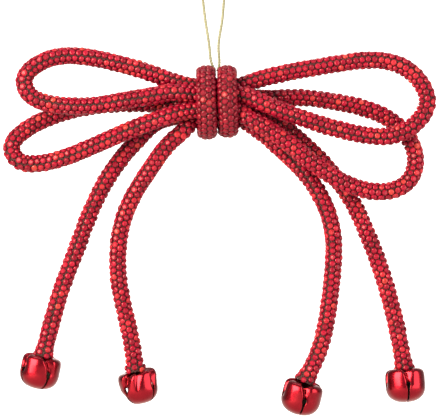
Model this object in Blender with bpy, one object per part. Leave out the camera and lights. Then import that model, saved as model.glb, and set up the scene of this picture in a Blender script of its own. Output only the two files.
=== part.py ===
"""Double bow of glitter rope with four jingle bells and a gold hanging thread.

Units are metres and +Z is up. The bow faces -Y. The origin is at the inside of the thread's crown,
where the ornament hangs. The knot is the middle of the bow, where six lengths of rope pass side by
side through a wrap of the same rope.
"""

import math

import bmesh
import bpy
import numpy as np
from mathutils import Matrix, Vector

# The rope
ROPE_DIAMETER = 0.0065
ROPE_SIDES = 10
RING_SPACING = 0.0058
BEND_WEIGHT = 0.008
SPLINE_STEPS = 24
PASSAGE_SPACING = 0.0035
GAP = 0.0003

# The bow: how far it reaches to each side of the knot, and how far its tails hang below the knot
LOOP_REACH = 0.081
TAIL_DROP = 0.104

# The wrap: two turns, flattened where they press on the bundle
SQUEEZE = 0.89
SQUEEZE_EASE = 0.007
WRAP_THICKNESS = 0.0047
WRAP_WIDTH = 0.0072
WRAP_SPLIT = 0.0007
WRAP_SIDES = 12
WRAP_RING_SPACING = 0.0036

# Angles round the wrap are measured from its front, over the top and round the back
WRAP_START = math.radians(-163)
WRAP_SHIFT_START = math.radians(120)
WRAP_SHIFT_END = math.radians(205)
WRAP_END = math.radians(488)

# The bells
BELL_DIAMETER = 0.0149
BELL_HEIGHT = 0.0127
BELL_WALL = 0.0005
BELL_SEGMENTS = 16
BELL_RINGS = 8
BELL_HOLE_DIAMETER = 0.0018
BELL_SLOT_WIDTH = 0.00075
BELL_HOLE_DEPTH = 0.0061
BELL_HOLE_SIDES = 10
BELL_SQUARENESS_TOP = 5.8
BELL_SQUARENESS_BOTTOM = 2.4

# The thread
THREAD_DIAMETER = 0.0008
THREAD_RISE = 0.0655
THREAD_SPREAD = 0.0122
THREAD_LEFT_FOOT = 0.0015
THREAD_RIGHT_FOOT = 0.0009
THREAD_POINTS = 72

# Spacing of the six lengths of rope inside the wrap: a ring of six round an empty middle
BUNDLE_PITCH = SQUEEZE * ROPE_DIAMETER + GAP
WRAP_INNER_RADIUS = BUNDLE_PITCH + SQUEEZE * ROPE_DIAMETER / 2 + GAP
WRAP_RADIUS = WRAP_INNER_RADIUS + WRAP_THICKNESS / 2
LANE = (WRAP_WIDTH + WRAP_SPLIT) / 2
WRAP_HALF_WIDTH = LANE + WRAP_WIDTH / 2
LAYER = ROPE_DIAMETER + GAP

KNOT = Vector((0, 0, -THREAD_RISE + THREAD_DIAMETER / 2))

# Where each length lies in the bundle, as an angle round the knot measured from the top towards the back
UPPER_TOP_CELL = math.radians(0)
UPPER_BOTTOM_CELL = math.radians(-60)
LOWER_BOTTOM_CELL = math.radians(-120)
INNER_TAIL_CELL = math.radians(180)
OUTER_TAIL_CELL = math.radians(120)
LOWER_TOP_CELL = math.radians(60)

# The routes run outwards from the knot. Each point is (out, up, back): out and up are shares of
# LOOP_REACH for a loop and of TAIL_DROP for a tail, and back is in rope thicknesses.
UPPER_RIGHT = (
    (0.164, 0.096, -0.05), (0.285, 0.129, -0.15), (0.436, 0.158, -0.25), (0.586, 0.182, -0.35),
    (0.738, 0.194, -0.45), (0.859, 0.164, -0.55), (0.942, 0.090, -0.62), (0.972, -0.002, -0.68),
    (0.920, -0.097, -0.72), (0.812, -0.154, -0.76), (0.664, -0.149, -0.80), (0.511, -0.112, -0.85),
    (0.359, -0.062, -0.95), (0.211, -0.004, -1.00),
)
UPPER_LEFT = (
    (-0.207, 0.100, 0.00), (-0.297, 0.133, -0.05), (-0.409, 0.168, -0.15), (-0.525, 0.196, -0.25),
    (-0.632, 0.213, -0.35), (-0.748, 0.207, -0.45), (-0.840, 0.165, -0.52), (-0.887, 0.100, -0.60),
    (-0.860, 0.034, -0.68), (-0.789, -0.002, -0.76), (-0.678, -0.018, -0.84), (-0.549, -0.014, -0.92),
    (-0.419, 0.008, -1.00), (-0.289, 0.030, -1.05), (-0.178, 0.045, -1.00),
)
LOWER_RIGHT = (
    (0.178, 0.027, 1.34), (0.294, 0.025, 1.24), (0.410, 0.024, 1.04), (0.549, 0.006, 0.85),
    (0.691, -0.026, 0.70), (0.813, -0.084, 0.58), (0.881, -0.149, 0.42), (0.916, -0.221, 0.20),
    (0.918, -0.302, 0.00), (0.880, -0.371, -0.20), (0.807, -0.407, -0.40), (0.720, -0.411, -0.60),
    (0.595, -0.373, -0.78), (0.489, -0.313, -0.88), (0.387, -0.234, -0.96), (0.285, -0.157, -1.02),
    (0.192, -0.099, -1.04), (0.142, -0.072, -1.02),
)
LOWER_LEFT = (
    (-0.178, 0.014, 1.30), (-0.289, -0.003, 1.20), (-0.419, -0.003, 1.00), (-0.549, -0.012, 0.85),
    (-0.678, -0.036, 0.70), (-0.806, -0.081, 0.55), (-0.900, -0.137, 0.40), (-0.950, -0.211, 0.20),
    (-0.919, -0.267, 0.00), (-0.840, -0.284, -0.15), (-0.725, -0.262, -0.32), (-0.613, -0.221, -0.48),
    (-0.484, -0.165, -0.64), (-0.354, -0.110, -0.82), (-0.238, -0.068, -0.98),
)
OUTER_RIGHT = (
    (0.135, -0.033, 0.60), (0.200, -0.056, 0.54), (0.272, -0.110, 0.46), (0.355, -0.186, 0.40),
    (0.435, -0.276, 0.40), (0.489, -0.355, 0.38), (0.539, -0.460, 0.34), (0.579, -0.561, 0.28),
    (0.616, -0.676, 0.20), (0.644, -0.784, 0.12), (0.665, -0.885, 0.06), (0.677, -0.952, 0.02),
)
OUTER_LEFT = (
    (-0.130, -0.045, 0.66), (-0.210, -0.068, 0.60), (-0.278, -0.126, 0.56), (-0.336, -0.191, 0.50),
    (-0.397, -0.278, 0.45), (-0.453, -0.390, 0.38), (-0.507, -0.532, 0.30), (-0.560, -0.675, 0.20),
    (-0.596, -0.799, 0.10), (-0.623, -0.906, 0.02),
)
INNER_RIGHT = (
    (0.136, -0.090, -0.09), (0.178, -0.121, 0.00), (0.221, -0.159, 0.06), (0.264, -0.199, 0.10),
    (0.314, -0.249, 0.12), (0.357, -0.307, 0.12), (0.392, -0.372, 0.10), (0.420, -0.478, 0.08),
    (0.421, -0.586, 0.06), (0.411, -0.687, 0.04), (0.394, -0.802, 0.02), (0.366, -0.903, 0.00),
    (0.323, -0.996, 0.00),
)
INNER_LEFT = (
    (-0.112, -0.095, -0.26), (-0.160, -0.138, -0.22), (-0.207, -0.193, -0.18), (-0.252, -0.259, -0.15),
    (-0.296, -0.330, -0.12), (-0.337, -0.427, -0.08), (-0.355, -0.532, -0.05), (-0.351, -0.651, -0.02),
    (-0.326, -0.774, 0.00), (-0.303, -0.885, 0.00), (-0.293, -0.959, 0.00),
)

# The thread's two strands, from the knot up: out from the strand's foot in shares of half THREAD_SPREAD,
# and up from the knot in shares of THREAD_RISE. The crown closes them.
THREAD_LEFT = ((0.16, 0.30), (0.39, 0.46), (0.62, 0.62), (0.75, 0.76), (0.78, 0.84))
THREAD_RIGHT = ((0.07, 0.30), (0.19, 0.46), (0.35, 0.62), (0.60, 0.76), (0.77, 0.84))
CROWN_STEP = 30

# How far each bell is turned about its own axis, so that its holes face as they do on the real thing
BELL_TURNS = {
    "bell_outer_left": math.radians(31),
    "bell_inner_left": math.radians(-37),
    "bell_inner_right": math.radians(10),
    "bell_outer_right": math.radians(6),
}
# How far each bell leans in the plane of the bow, with a lean to the right positive
BELL_LEANS = {
    "bell_outer_left": math.radians(-12.5),
    "bell_inner_left": math.radians(13),
    "bell_inner_right": math.radians(-14),
    "bell_outer_right": math.radians(3.5),
}
# How far each bell's top tips towards the front
BELL_TILTS = {
    "bell_outer_left": math.radians(3),
    "bell_inner_left": math.radians(4),
    "bell_inner_right": math.radians(8),
    "bell_outer_right": math.radians(-4),
}


def clear_scene():
    for obj in list(bpy.data.objects):
        bpy.data.objects.remove(obj, do_unlink=True)


def plain_material(name, colour, roughness, metallic=0.0):
    material = bpy.data.materials.new(name)
    material.use_nodes = True
    shader = material.node_tree.nodes["Principled BSDF"]
    shader.inputs["Base Color"].default_value = (*colour, 1)
    shader.inputs["Roughness"].default_value = roughness
    shader.inputs["Metallic"].default_value = metallic
    return material


def cubic_spline(points):
    """Dense samples of the smooth curve through the points (a natural cubic spline over chord length)."""
    points = np.array([tuple(point) for point in points])
    chords = np.linalg.norm(np.diff(points, axis=0), axis=1)
    count = len(points)
    system = np.eye(count)
    right = np.zeros((count, 3))
    for i in range(1, count - 1):
        before, after = chords[i - 1], chords[i]
        system[i, i - 1 : i + 2] = before, 2 * (before + after), after
        slopes = (points[i + 1] - points[i]) / after - (points[i] - points[i - 1]) / before
        right[i] = 6 * slopes
    bends = np.linalg.solve(system, right)
    samples = []
    for i in range(count - 1):
        length = chords[i]
        for step in range(SPLINE_STEPS):
            t = length * step / SPLINE_STEPS
            rest = length - t
            samples.append(
                (bends[i] * rest**3 + bends[i + 1] * t**3) / (6 * length)
                + (points[i] / length - bends[i] * length / 6) * rest
                + (points[i + 1] / length - bends[i + 1] * length / 6) * t
            )
    samples.append(points[-1])
    return np.array(samples)


def evenly_spaced(samples, count):
    """Points at equal distances along the polyline, both ends kept."""
    lengths = np.linalg.norm(np.diff(samples, axis=0), axis=1)
    return spread_along(samples, lengths, count)


def spaced_by_bend(samples, spacing):
    """Points along the polyline, at the spacing on a straight and closer together in a bend."""
    lengths = np.linalg.norm(np.diff(samples, axis=0), axis=1)
    headings = np.diff(samples, axis=0) / lengths[:, None]
    turns = np.linalg.norm(np.diff(headings, axis=0), axis=1)
    weighted = lengths + BEND_WEIGHT * np.append(turns, turns[-1])
    return spread_along(samples, weighted, round(weighted.sum() / spacing) + 1)


def spread_along(samples, steps, count):
    along = np.concatenate([[0], np.cumsum(steps)])
    places = np.linspace(0, along[-1], count)
    return np.stack([np.interp(places, along, samples[:, axis]) for axis in range(3)], axis=1)


def tangents_of(path):
    tangents = np.gradient(path, axis=0)
    return tangents / np.linalg.norm(tangents, axis=1)[:, None]


def carried_frames(path):
    """A sideways direction at each point, carried along the path without twisting."""
    tangents = tangents_of(path)
    side = np.cross(tangents[0], (0, 1, 0))
    sides = []
    for tangent in tangents:
        side = side - tangent * np.dot(side, tangent)
        side = side / np.linalg.norm(side)
        sides.append(side)
    return tangents, np.array(sides)


def tube(name, path, sides, tangents, half_width, half_height, corners, material):
    """A closed tube. half_width lies along the sideways direction and half_height across it."""
    mesh = bmesh.new()
    rings = []
    for i, point in enumerate(path):
        across = np.cross(tangents[i], sides[i])
        ring = []
        for corner in range(corners):
            angle = 2 * math.pi * corner / corners
            offset = sides[i] * half_width[i] * math.cos(angle) + across * half_height[i] * math.sin(angle)
            ring.append(mesh.verts.new(point + offset))
        rings.append(ring)
    for first, second in zip(rings, rings[1:]):
        for corner in range(corners):
            following = (corner + 1) % corners
            mesh.faces.new((first[corner], first[following], second[following], second[corner]))
    mesh.faces.new(rings[0])
    mesh.faces.new(rings[-1])
    bmesh.ops.recalc_face_normals(mesh, faces=mesh.faces)
    return finished_object(name, mesh, material)


def finished_object(name, mesh, material):
    for face in mesh.faces:
        face.smooth = len(face.verts) <= 4
    data = bpy.data.meshes.new(name)
    mesh.to_mesh(data)
    mesh.free()
    data.materials.append(material)
    obj = bpy.data.objects.new(name, data)
    bpy.context.scene.collection.objects.link(obj)
    return obj


def cell(angle, across):
    """The place of a length of rope in the bundle, at a distance across the knot."""
    return KNOT + Vector((across, BUNDLE_PITCH * math.sin(angle), BUNDLE_PITCH * math.cos(angle)))


def passage(angle, start, end):
    """A straight run of a length of rope through its cell, from one distance across the knot to another."""
    count = max(3, round(abs(end - start) / PASSAGE_SPACING) + 1)
    return [cell(angle, start + (end - start) * step / (count - 1)) for step in range(count)]


def placed(route, reach):
    return [KNOT + Vector((out * reach, back * LAYER, up * reach)) for out, up, back in route]


def rope(name, points, material):
    """A round rope through the points, squeezed where it passes through the wrap."""
    path = spaced_by_bend(cubic_spline(points), RING_SPACING)
    tangents, sides = carried_frames(path)
    beyond = np.abs(path[:, 0] - KNOT.x) - WRAP_HALF_WIDTH
    below = np.abs(path[:, 2] - KNOT.z) - WRAP_INNER_RADIUS
    share = np.clip(np.maximum(beyond, below) / SQUEEZE_EASE, 0, 1)
    radius = ROPE_DIAMETER / 2 * (SQUEEZE + (1 - SQUEEZE) * share)
    return tube(name, path, sides, tangents, radius, radius, ROPE_SIDES, material)


def build_loops(name, right, left, first_cell, second_cell, material):
    """One rope: from mid knot round the right loop, back through the knot and round the left loop."""
    points = (
        passage(first_cell, GAP / 2, WRAP_HALF_WIDTH)
        + placed(right, LOOP_REACH)
        + passage(second_cell, WRAP_HALF_WIDTH, -WRAP_HALF_WIDTH)
        + placed(left, LOOP_REACH)
        + passage(first_cell, -WRAP_HALF_WIDTH, -GAP / 2)
    )
    return rope(name, points, material)


def build_tails(name, left, right, through, left_bell, right_bell, material):
    """One rope through the knot with a hanging end on each side. Returns where the bells' tops sit."""
    points = (
        placed(left, TAIL_DROP)[::-1]
        + passage(through, -WRAP_HALF_WIDTH, WRAP_HALF_WIDTH)
        + placed(right, TAIL_DROP)
    )
    path = cubic_spline(points)
    rope(name, points, material)
    return {
        left_bell: bell_top(left_bell, path[0], path[0] - path[1]),
        right_bell: bell_top(right_bell, path[-1], path[-1] - path[-2]),
    }


def bell_top(name, end, heading):
    """Where a bell's top sits below the rope's end, clear of the end's rim however far the two lean apart."""
    apart = bell_axis(name).angle(Vector(heading))
    return Vector(end) + bell_axis(name) * (GAP + ROPE_DIAMETER / 2 * math.sin(apart))


def wrap_offset(angle):
    """How far across the knot the wrap lies at an angle: it changes lane between the turns, at the back."""
    share = (angle - WRAP_SHIFT_START) / (WRAP_SHIFT_END - WRAP_SHIFT_START)
    share = min(1, max(0, share))
    return LANE * (2 * share * share * (3 - 2 * share) - 1)


def build_wrap(material):
    steps = round((WRAP_END - WRAP_START) * WRAP_RADIUS / WRAP_RING_SPACING)
    angles = [WRAP_START + (WRAP_END - WRAP_START) * step / steps for step in range(steps + 1)]
    outwards = np.array([(0, -math.cos(angle), math.sin(angle)) for angle in angles])
    centres = np.array([(wrap_offset(angle), 0, 0) for angle in angles])
    path = np.array(KNOT) + centres + outwards * WRAP_RADIUS
    tangents = tangents_of(path)
    count = len(path)
    half_thickness = np.full(count, WRAP_THICKNESS / 2)
    half_width = np.full(count, WRAP_WIDTH / 2)
    tube("centre_wrap", path, outwards, tangents, half_thickness, half_width, WRAP_SIDES, material)


def bell_turn(name):
    """The turn from an upright bell, with a slot across the bow, to the bell as it hangs."""
    lean = Matrix.Rotation(-BELL_LEANS[name], 4, "Y")
    tilt = Matrix.Rotation(BELL_TILTS[name], 4, "X")
    facing = Matrix.Rotation(BELL_TURNS[name] - math.pi / 2, 4, "Z")
    return lean @ tilt @ facing


def bell_axis(name):
    """The direction from a bell's top to its bottom."""
    return bell_turn(name) @ Vector((0, 0, -1))


def bell_profile(inset):
    """(radius, height) from the bottom to the top, in from the outer surface by inset."""
    radius = BELL_DIAMETER / 2 - inset
    half_height = BELL_HEIGHT / 2 - inset
    profile = []
    for ring in range(BELL_RINGS + 1):
        angle = math.pi * ring / BELL_RINGS - math.pi / 2
        power = 2 / (BELL_SQUARENESS_BOTTOM if angle < 0 else BELL_SQUARENESS_TOP)
        out = radius * abs(math.cos(angle)) ** power
        up = half_height * math.copysign(abs(math.sin(angle)) ** power, angle)
        profile.append((out, up))
    return profile


def turned_shell(mesh, profile):
    """A closed surface of revolution about Z, with one point at each end."""
    ends = [mesh.verts.new((0, 0, profile[0][1])), mesh.verts.new((0, 0, profile[-1][1]))]
    rings = []
    for out, up in profile[1:-1]:
        angles = [2 * math.pi * segment / BELL_SEGMENTS for segment in range(BELL_SEGMENTS)]
        rings.append([mesh.verts.new((out * math.cos(a), out * math.sin(a), up)) for a in angles])
    faces = []
    for segment in range(BELL_SEGMENTS):
        following = (segment + 1) % BELL_SEGMENTS
        faces.append(mesh.faces.new((ends[0], rings[0][following], rings[0][segment])))
        faces.append(mesh.faces.new((ends[1], rings[-1][segment], rings[-1][following])))
        for lower, upper in zip(rings, rings[1:]):
            faces.append(
                mesh.faces.new((lower[segment], lower[following], upper[following], upper[segment]))
            )
    return faces


def cutter(name, mesh):
    data = bpy.data.meshes.new(name)
    bmesh.ops.recalc_face_normals(mesh, faces=mesh.faces)
    mesh.to_mesh(data)
    mesh.free()
    obj = bpy.data.objects.new(name, data)
    bpy.context.scene.collection.objects.link(obj)
    obj.hide_render = True
    obj.display_type = "WIRE"
    return obj


def bell_cutters():
    """Cutters for the four round holes and for the crossed slots that run from them to the bottom."""
    hole_height = BELL_HEIGHT / 2 - BELL_HOLE_DEPTH
    reach = BELL_DIAMETER
    cutters = []
    for quarter in range(2):
        turn = Matrix.Rotation(math.pi / 2 * quarter, 4, "Z")
        slot = bmesh.new()
        bmesh.ops.create_cube(slot, size=1)
        slot.transform(turn @ Matrix.Translation((0, 0, hole_height - BELL_HEIGHT / 2))
                       @ Matrix.Diagonal((2 * reach, BELL_SLOT_WIDTH, BELL_HEIGHT, 1)))
        cutters.append(cutter(f"slot_{quarter}", slot))
        hole = bmesh.new()
        bmesh.ops.create_cone(
            hole, cap_ends=True, segments=BELL_HOLE_SIDES, radius1=BELL_HOLE_DIAMETER / 2,
            radius2=BELL_HOLE_DIAMETER / 2, depth=2 * reach,
            matrix=turn @ Matrix.Translation((0, 0, hole_height)) @ Matrix.Rotation(math.pi / 2, 4, "Y"),
        )
        cutters.append(cutter(f"hole_{quarter}", hole))
    return cutters


def bell_mesh():
    """The hollow bell about its own centre: a thin shell with crossed slots, each ending in a round hole."""
    mesh = bmesh.new()
    turned_shell(mesh, bell_profile(0))
    bmesh.ops.reverse_faces(mesh, faces=turned_shell(mesh, bell_profile(BELL_WALL)))
    data = bpy.data.meshes.new("bell_shell")
    mesh.to_mesh(data)
    mesh.free()
    shell = bpy.data.objects.new("bell_shell", data)
    bpy.context.scene.collection.objects.link(shell)
    cutters = bell_cutters()
    for tool in cutters:
        cut = shell.modifiers.new(tool.name, "BOOLEAN")
        cut.operation = "DIFFERENCE"
        cut.solver = "EXACT"
        cut.object = tool
    bpy.context.view_layer.update()
    graph = bpy.context.evaluated_depsgraph_get()
    finished = bpy.data.meshes.new_from_object(shell.evaluated_get(graph))
    for obj in [shell, *cutters]:
        bpy.data.objects.remove(obj, do_unlink=True)
    return finished


def build_bells(tops, colour):
    shape = bell_mesh()
    for name, top in tops.items():
        data = shape.copy()
        data.name = name
        data.materials.clear()
        data.materials.append(plain_material(name, colour, 0.22, metallic=1.0))
        for face in data.polygons:
            face.use_smooth = True
        obj = bpy.data.objects.new(name, data)
        bpy.context.scene.collection.objects.link(obj)
        centre = top + bell_axis(name) * BELL_HEIGHT / 2
        obj.matrix_world = Matrix.Translation(centre) @ bell_turn(name)


def wrap_surface(across):
    """Height of the wrap's top above the knot at a distance across it."""
    from_turn = (abs(across) - LANE) / (WRAP_WIDTH / 2)
    rise = math.sqrt(max(0, 1 - from_turn * from_turn))
    return WRAP_RADIUS + WRAP_THICKNESS / 2 * rise


def thread_strand(foot, strand, side):
    """One strand from its foot in the wrap's valley up to the crown. side is -1 for left and 1 for right."""
    points = [(side * foot, wrap_surface(foot) + GAP + THREAD_DIAMETER / 4)]
    for out, up in strand:
        points.append((side * (foot + out * THREAD_SPREAD / 2), up * THREAD_RISE))
    return points


def thread_points():
    """The thread's route, from its left foot over the crown to its right foot."""
    half = THREAD_SPREAD / 2
    angles = [math.radians(degrees) for degrees in range(180, -1, -CROWN_STEP)]
    crown = [(half * math.cos(angle), THREAD_RISE - half + half * math.sin(angle)) for angle in angles]
    left = thread_strand(THREAD_LEFT_FOOT, THREAD_LEFT, -1)
    right = thread_strand(THREAD_RIGHT_FOOT, THREAD_RIGHT, 1)
    return [KNOT + Vector((across, 0, up)) for across, up in left + crown + right[::-1]]


def build_thread(material):
    path = evenly_spaced(cubic_spline(thread_points()), THREAD_POINTS)
    curve = bpy.data.curves.new("hanging_thread", "CURVE")
    curve.dimensions = "3D"
    curve.bevel_depth = THREAD_DIAMETER / 2
    curve.bevel_resolution = 2
    curve.use_fill_caps = True
    spline = curve.splines.new("POLY")
    spline.points.add(len(path) - 1)
    for point, place in zip(spline.points, path):
        point.co = (*place, 1)
    curve.materials.append(material)
    obj = bpy.data.objects.new("hanging_thread", curve)
    bpy.context.scene.collection.objects.link(obj)


def main():
    clear_scene()
    rope_red = (0.55, 0.012, 0.022)
    bell_red = (0.62, 0.010, 0.030)
    gold = (0.72, 0.62, 0.30)
    build_loops("upper_loops", UPPER_RIGHT, UPPER_LEFT[::-1], UPPER_TOP_CELL, UPPER_BOTTOM_CELL,
                plain_material("upper_loops", rope_red, 0.4))
    build_loops("lower_loops", LOWER_RIGHT[::-1], LOWER_LEFT, LOWER_BOTTOM_CELL, LOWER_TOP_CELL,
                plain_material("lower_loops", rope_red, 0.4))
    tops = build_tails("outer_tails", OUTER_LEFT, OUTER_RIGHT, OUTER_TAIL_CELL,
                       "bell_outer_left", "bell_outer_right", plain_material("outer_tails", rope_red, 0.4))
    tops |= build_tails("inner_tails", INNER_LEFT, INNER_RIGHT, INNER_TAIL_CELL,
                        "bell_inner_left", "bell_inner_right", plain_material("inner_tails", rope_red, 0.4))
    build_wrap(plain_material("centre_wrap", rope_red, 0.4))
    build_bells(tops, bell_red)
    build_thread(plain_material("hanging_thread", gold, 0.35, metallic=1.0))


main()
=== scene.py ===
"""Double bow of glitter rope with four jingle bells and a gold hanging thread.

Units are metres and +Z is up. The bow faces -Y. The origin is at the inside of the thread's crown.
Each rope is a dark net tube set with faceted stones in eight rows. The routes are those of the solids.
"""

import math

import bmesh
import bpy
import numpy as np
from mathutils import Matrix, Vector


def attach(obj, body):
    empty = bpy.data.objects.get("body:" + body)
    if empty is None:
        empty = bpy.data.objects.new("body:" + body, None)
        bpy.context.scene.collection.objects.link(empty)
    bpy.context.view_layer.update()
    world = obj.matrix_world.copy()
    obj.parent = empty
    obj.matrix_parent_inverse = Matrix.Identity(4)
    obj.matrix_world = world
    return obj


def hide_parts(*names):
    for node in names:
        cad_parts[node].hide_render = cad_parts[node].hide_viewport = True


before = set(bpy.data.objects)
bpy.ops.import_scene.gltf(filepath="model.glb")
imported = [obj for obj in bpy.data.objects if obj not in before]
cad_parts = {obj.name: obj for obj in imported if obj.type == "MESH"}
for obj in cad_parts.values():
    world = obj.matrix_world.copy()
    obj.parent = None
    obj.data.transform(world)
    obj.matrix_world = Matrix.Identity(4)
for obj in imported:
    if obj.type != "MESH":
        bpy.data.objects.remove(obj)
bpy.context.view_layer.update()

# The rope. GAP is the room between two neighbours. A route's curve has SPLINE_STEPS points from one of its
# places to the next. PASSAGE_SPACING lies between a strand's places in the knot.
ROPE_DIAMETER = 0.0065
GAP = 0.0003
LOOP_REACH = 0.081
TAIL_DROP = 0.104
SPLINE_STEPS = 24
PASSAGE_SPACING = 0.0035
LINE_SPACING = 0.0003

# The six strands in the wrap lie SQUEEZE of their diameter apart. Their outsides shrink to SOFT_SQUEEZE and
# are back at full size SQUEEZE_EASE beyond the wrap.
SQUEEZE = 0.89
SQUEEZE_EASE = 0.007
SOFT_SQUEEZE = 0.97

# The wrap: a flattened rope, two turns round the strands, that shifts sideways at the back. Its angles run
# from the front over the top. Below the front both turns lie FRONT_SHIFT to one side.
WRAP_THICKNESS = 0.0047
WRAP_WIDTH = 0.0072
WRAP_SPLIT = 0.0007
WRAP_SPREAD = 1.02
WRAP_STEPS = 400
SECOND_TURN_TIGHTER = 0.0003
SECOND_TURN_LIFT = 0.0004
FRONT_SHIFT = 0.0006
FRONT_SHIFT_END = math.radians(30)
WRAP_START = math.radians(-163)
WRAP_SHIFT_START = math.radians(120)
WRAP_SHIFT_END = math.radians(205)
WRAP_END = math.radians(488)

# The thread: two plies twisted together. THREAD_TUCKS is the way that its left and its right end go on from
# the foot into the valley of the wrap.
THREAD_DIAMETER = 0.0008
THREAD_RISE = 0.0655
THREAD_SPREAD = 0.0122
THREAD_LEFT_FOOT = 0.0015
THREAD_RIGHT_FOOT = 0.0009
THREAD_TUCKS = ((0.0009, 0.0004, -0.0016), (-0.0005, -0.0004, -0.0016))
PLY_TWIST = 0.0021
PLY_SIDES = 7
PLY_FULLNESS = 2.0
PLY_SPACING = 0.00022

BUNDLE_PITCH = SQUEEZE * ROPE_DIAMETER + GAP
WRAP_INNER_RADIUS = BUNDLE_PITCH + SQUEEZE * ROPE_DIAMETER / 2 + GAP
WRAP_RADIUS = WRAP_INNER_RADIUS + WRAP_THICKNESS / 2
LANE = (WRAP_WIDTH + WRAP_SPLIT) / 2
WRAP_HALF_WIDTH = LANE + WRAP_WIDTH / 2
LAYER = ROPE_DIAMETER + GAP
KNOT = Vector((0, 0, -THREAD_RISE + THREAD_DIAMETER / 2))

# The stones. Their tops lie STONE_REACH from the rope's middle, and their rows leave a seam of SEAM_WIDTH
# degrees. Every second row starts half a stone further on.
STONE_RADIUS = 0.00128
STONE_HEIGHT = 0.00084
STONE_REACH = 0.00332
STONE_PITCH = 0.0024
WRAP_STONE_PITCH = 0.00228
STONE_ROWS = 8
SEAM_WIDTH = 8
ROW_STARTS = (0.25, 0.75)
STONE_END_MARGIN = 0.0006
# The rings of a stone of radius and height 1, from its foot up: (radius, height, turn in corners)
STONE_RINGS = ((0.86, -0.25, 0), (1.0, 0.26, 0), (0.86, 0.70, 0.5), (0.50, 1.0, 0))
STONE_CORNERS = 8
# How far stones lie off their even places, in metres, in degrees round the rope and as a lean
STONE_WANDER = 0.00006
STONE_TURN_WANDER = 1.1
STONE_LEAN = 0.085
# Stones on the inside of a bend are smaller, by BEND_SHARE of what the bend takes from their room
STONE_SIZES = (0.95, 1.03)
SMALLEST_STONE = 0.6
STONE_CLEARANCE = 0.0001
BEND_SHARE = 0.85
PLACES_SEED = 11
TURNS_SEED = 5
EDGE_POINTS = 721

# The net under the stones. In each direction WEAVE_ROUND threads cross a line round the rope, and WEAVE_ALONG
# threads cross a centimetre along it. The weave's places along it have WEAVE_UNITS to a metre.
NET_RADIUS = 0.0025
NET_SIDES = 20
NET_SPACING = 0.0009
WEAVE_UNITS = 100
WEAVE_ROUND = 16
WEAVE_ALONG = 6.25
END_WEAVE_SPAN = 5

# The bells. The body is squarer above its middle than below it. The holes narrow into the slots.
BELL_DIAMETER = 0.0149
BELL_HEIGHT = 0.0127
BELL_WALL = 0.0005
BELL_SQUARENESS_TOP = 5.8
BELL_SQUARENESS_BOTTOM = 2.4
BELL_SEGMENTS = 128
BELL_RINGS = 48
SEGMENT_CROWDING = 1.3
BELL_SLOT_WIDTH = 0.00075
BELL_HOLE_DIAMETER = 0.0018
BELL_HOLE_DEPTH = 0.0061
HOLE_HEIGHT = BELL_HEIGHT / 2 - BELL_HOLE_DEPTH
HOLE_ARC_START = -25
HOLE_ARC_SWEEP = 230
HOLE_ARC_STEPS = 16
HOLE_TAPER = 0.0024
OUTSIDE, INSIDE, CUT_EDGE = range(3)

# The valleys between a bell's petals run from its top to VALLEY_FOOT below the middle of the holes. Pairs are
# for the left and the right wall, seen from outside. Valleys and dent fade out within CROWN_RADIUS of the
# axis. SMALLEST_OUT and SMALLEST_REACH keep the points next to the axis apart.
VALLEY_DEPTH = 0.0023
VALLEY_WIDTHS_LOW = (0.0007, 0.0016)
VALLEY_WIDTHS_TOP = (0.0012, 0.0034)
VALLEY_FOOT = 0.0008
VALLEY_RISE_POWER = 0.6
VALLEY_TOP_LOSS = 0.45
ROUND_WALL_POWER = 1.3
SLOPED_WALL_POWER = 1.1
CROWN_RADIUS = 0.0035
SMALLEST_OUT = 0.0002
SMALLEST_REACH = 0.0001
TWIST_POWER = 1.5

# The inner left bell has a dent and two petals pressed in by a share of the radius. Heights are shares of
# half the bell's height over its middle: a petal is pressed in below the first, fully the second lower down.
DENT_TURN = math.radians(38)
DENT_DEPTH = 0.0013
DENT_WIDTHS = (0.0011, 0.0030)
DENT_FOOT = -0.15
DENT_FOOT_WIDTH = 0.3
DENT_RISE_POWER = 0.7
DENT_DOWN_POWER = 6
PUSHED_IN = 0.20
PUSHED_HEIGHTS = (0.1, 0.5)
TURNED_IN = 0.12
TURNED_HEIGHTS = (0.5, 0.3)

# The tails' ends run on to the bells and spread over their last FLARE_LENGTH
TAIL_TUCK = 0.0013
TAIL_FLARES = {"outer_tails": 0.0008, "inner_tails": 0.0012}
FLARE_LENGTH = 0.0055
FLARE_POWER = 1.5

# Colours, each with its place on its ramp. The wrap's stones are only a share as bright as the others, set
# below: the same stones in painted shade.
# Each stone's tone is drawn at random. The orange top of the ramp, which few stones reach, is a painted
# glint.
STONE_COLOURS = (
    (0.0, (0.175, 0.0008, 0.013)), (0.4, (0.235, 0.0015, 0.018)), (0.75, (0.29, 0.003, 0.023)),
    (0.96, (0.36, 0.016, 0.026)), (1.0, (0.41, 0.036, 0.030)),
)
# The darkest painted shade on a stone's facets, as a share of its tone
DARKEST_PAINTED_FACET = 0.6
WRAP_PAINTED_SHADE = 0.66
NET_COLOURS = (
    (0.0, (0.017, 0.004, 0.005)), (0.45, (0.032, 0.010, 0.011)), (0.9, (0.052, 0.022, 0.023)),
)
BELL_COLOURS = ((0.3, (0.19, 0.0008, 0.008)), (0.7, (0.24, 0.0018, 0.011)))
# The bell's inside is near-black metal: painted shade in its hollow
INSIDE_PAINTED_SHADE_COLOURS = ((0.3, (0.020, 0.018, 0.014)), (0.7, (0.055, 0.045, 0.035)))
EDGE_COLOURS = ((0.3, (0.30, 0.02, 0.03)), (0.7, (0.50, 0.10, 0.09)))
GOLD_COLOURS = ((0.3, (0.165, 0.175, 0.106)), (0.7, (0.275, 0.295, 0.20)))

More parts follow.
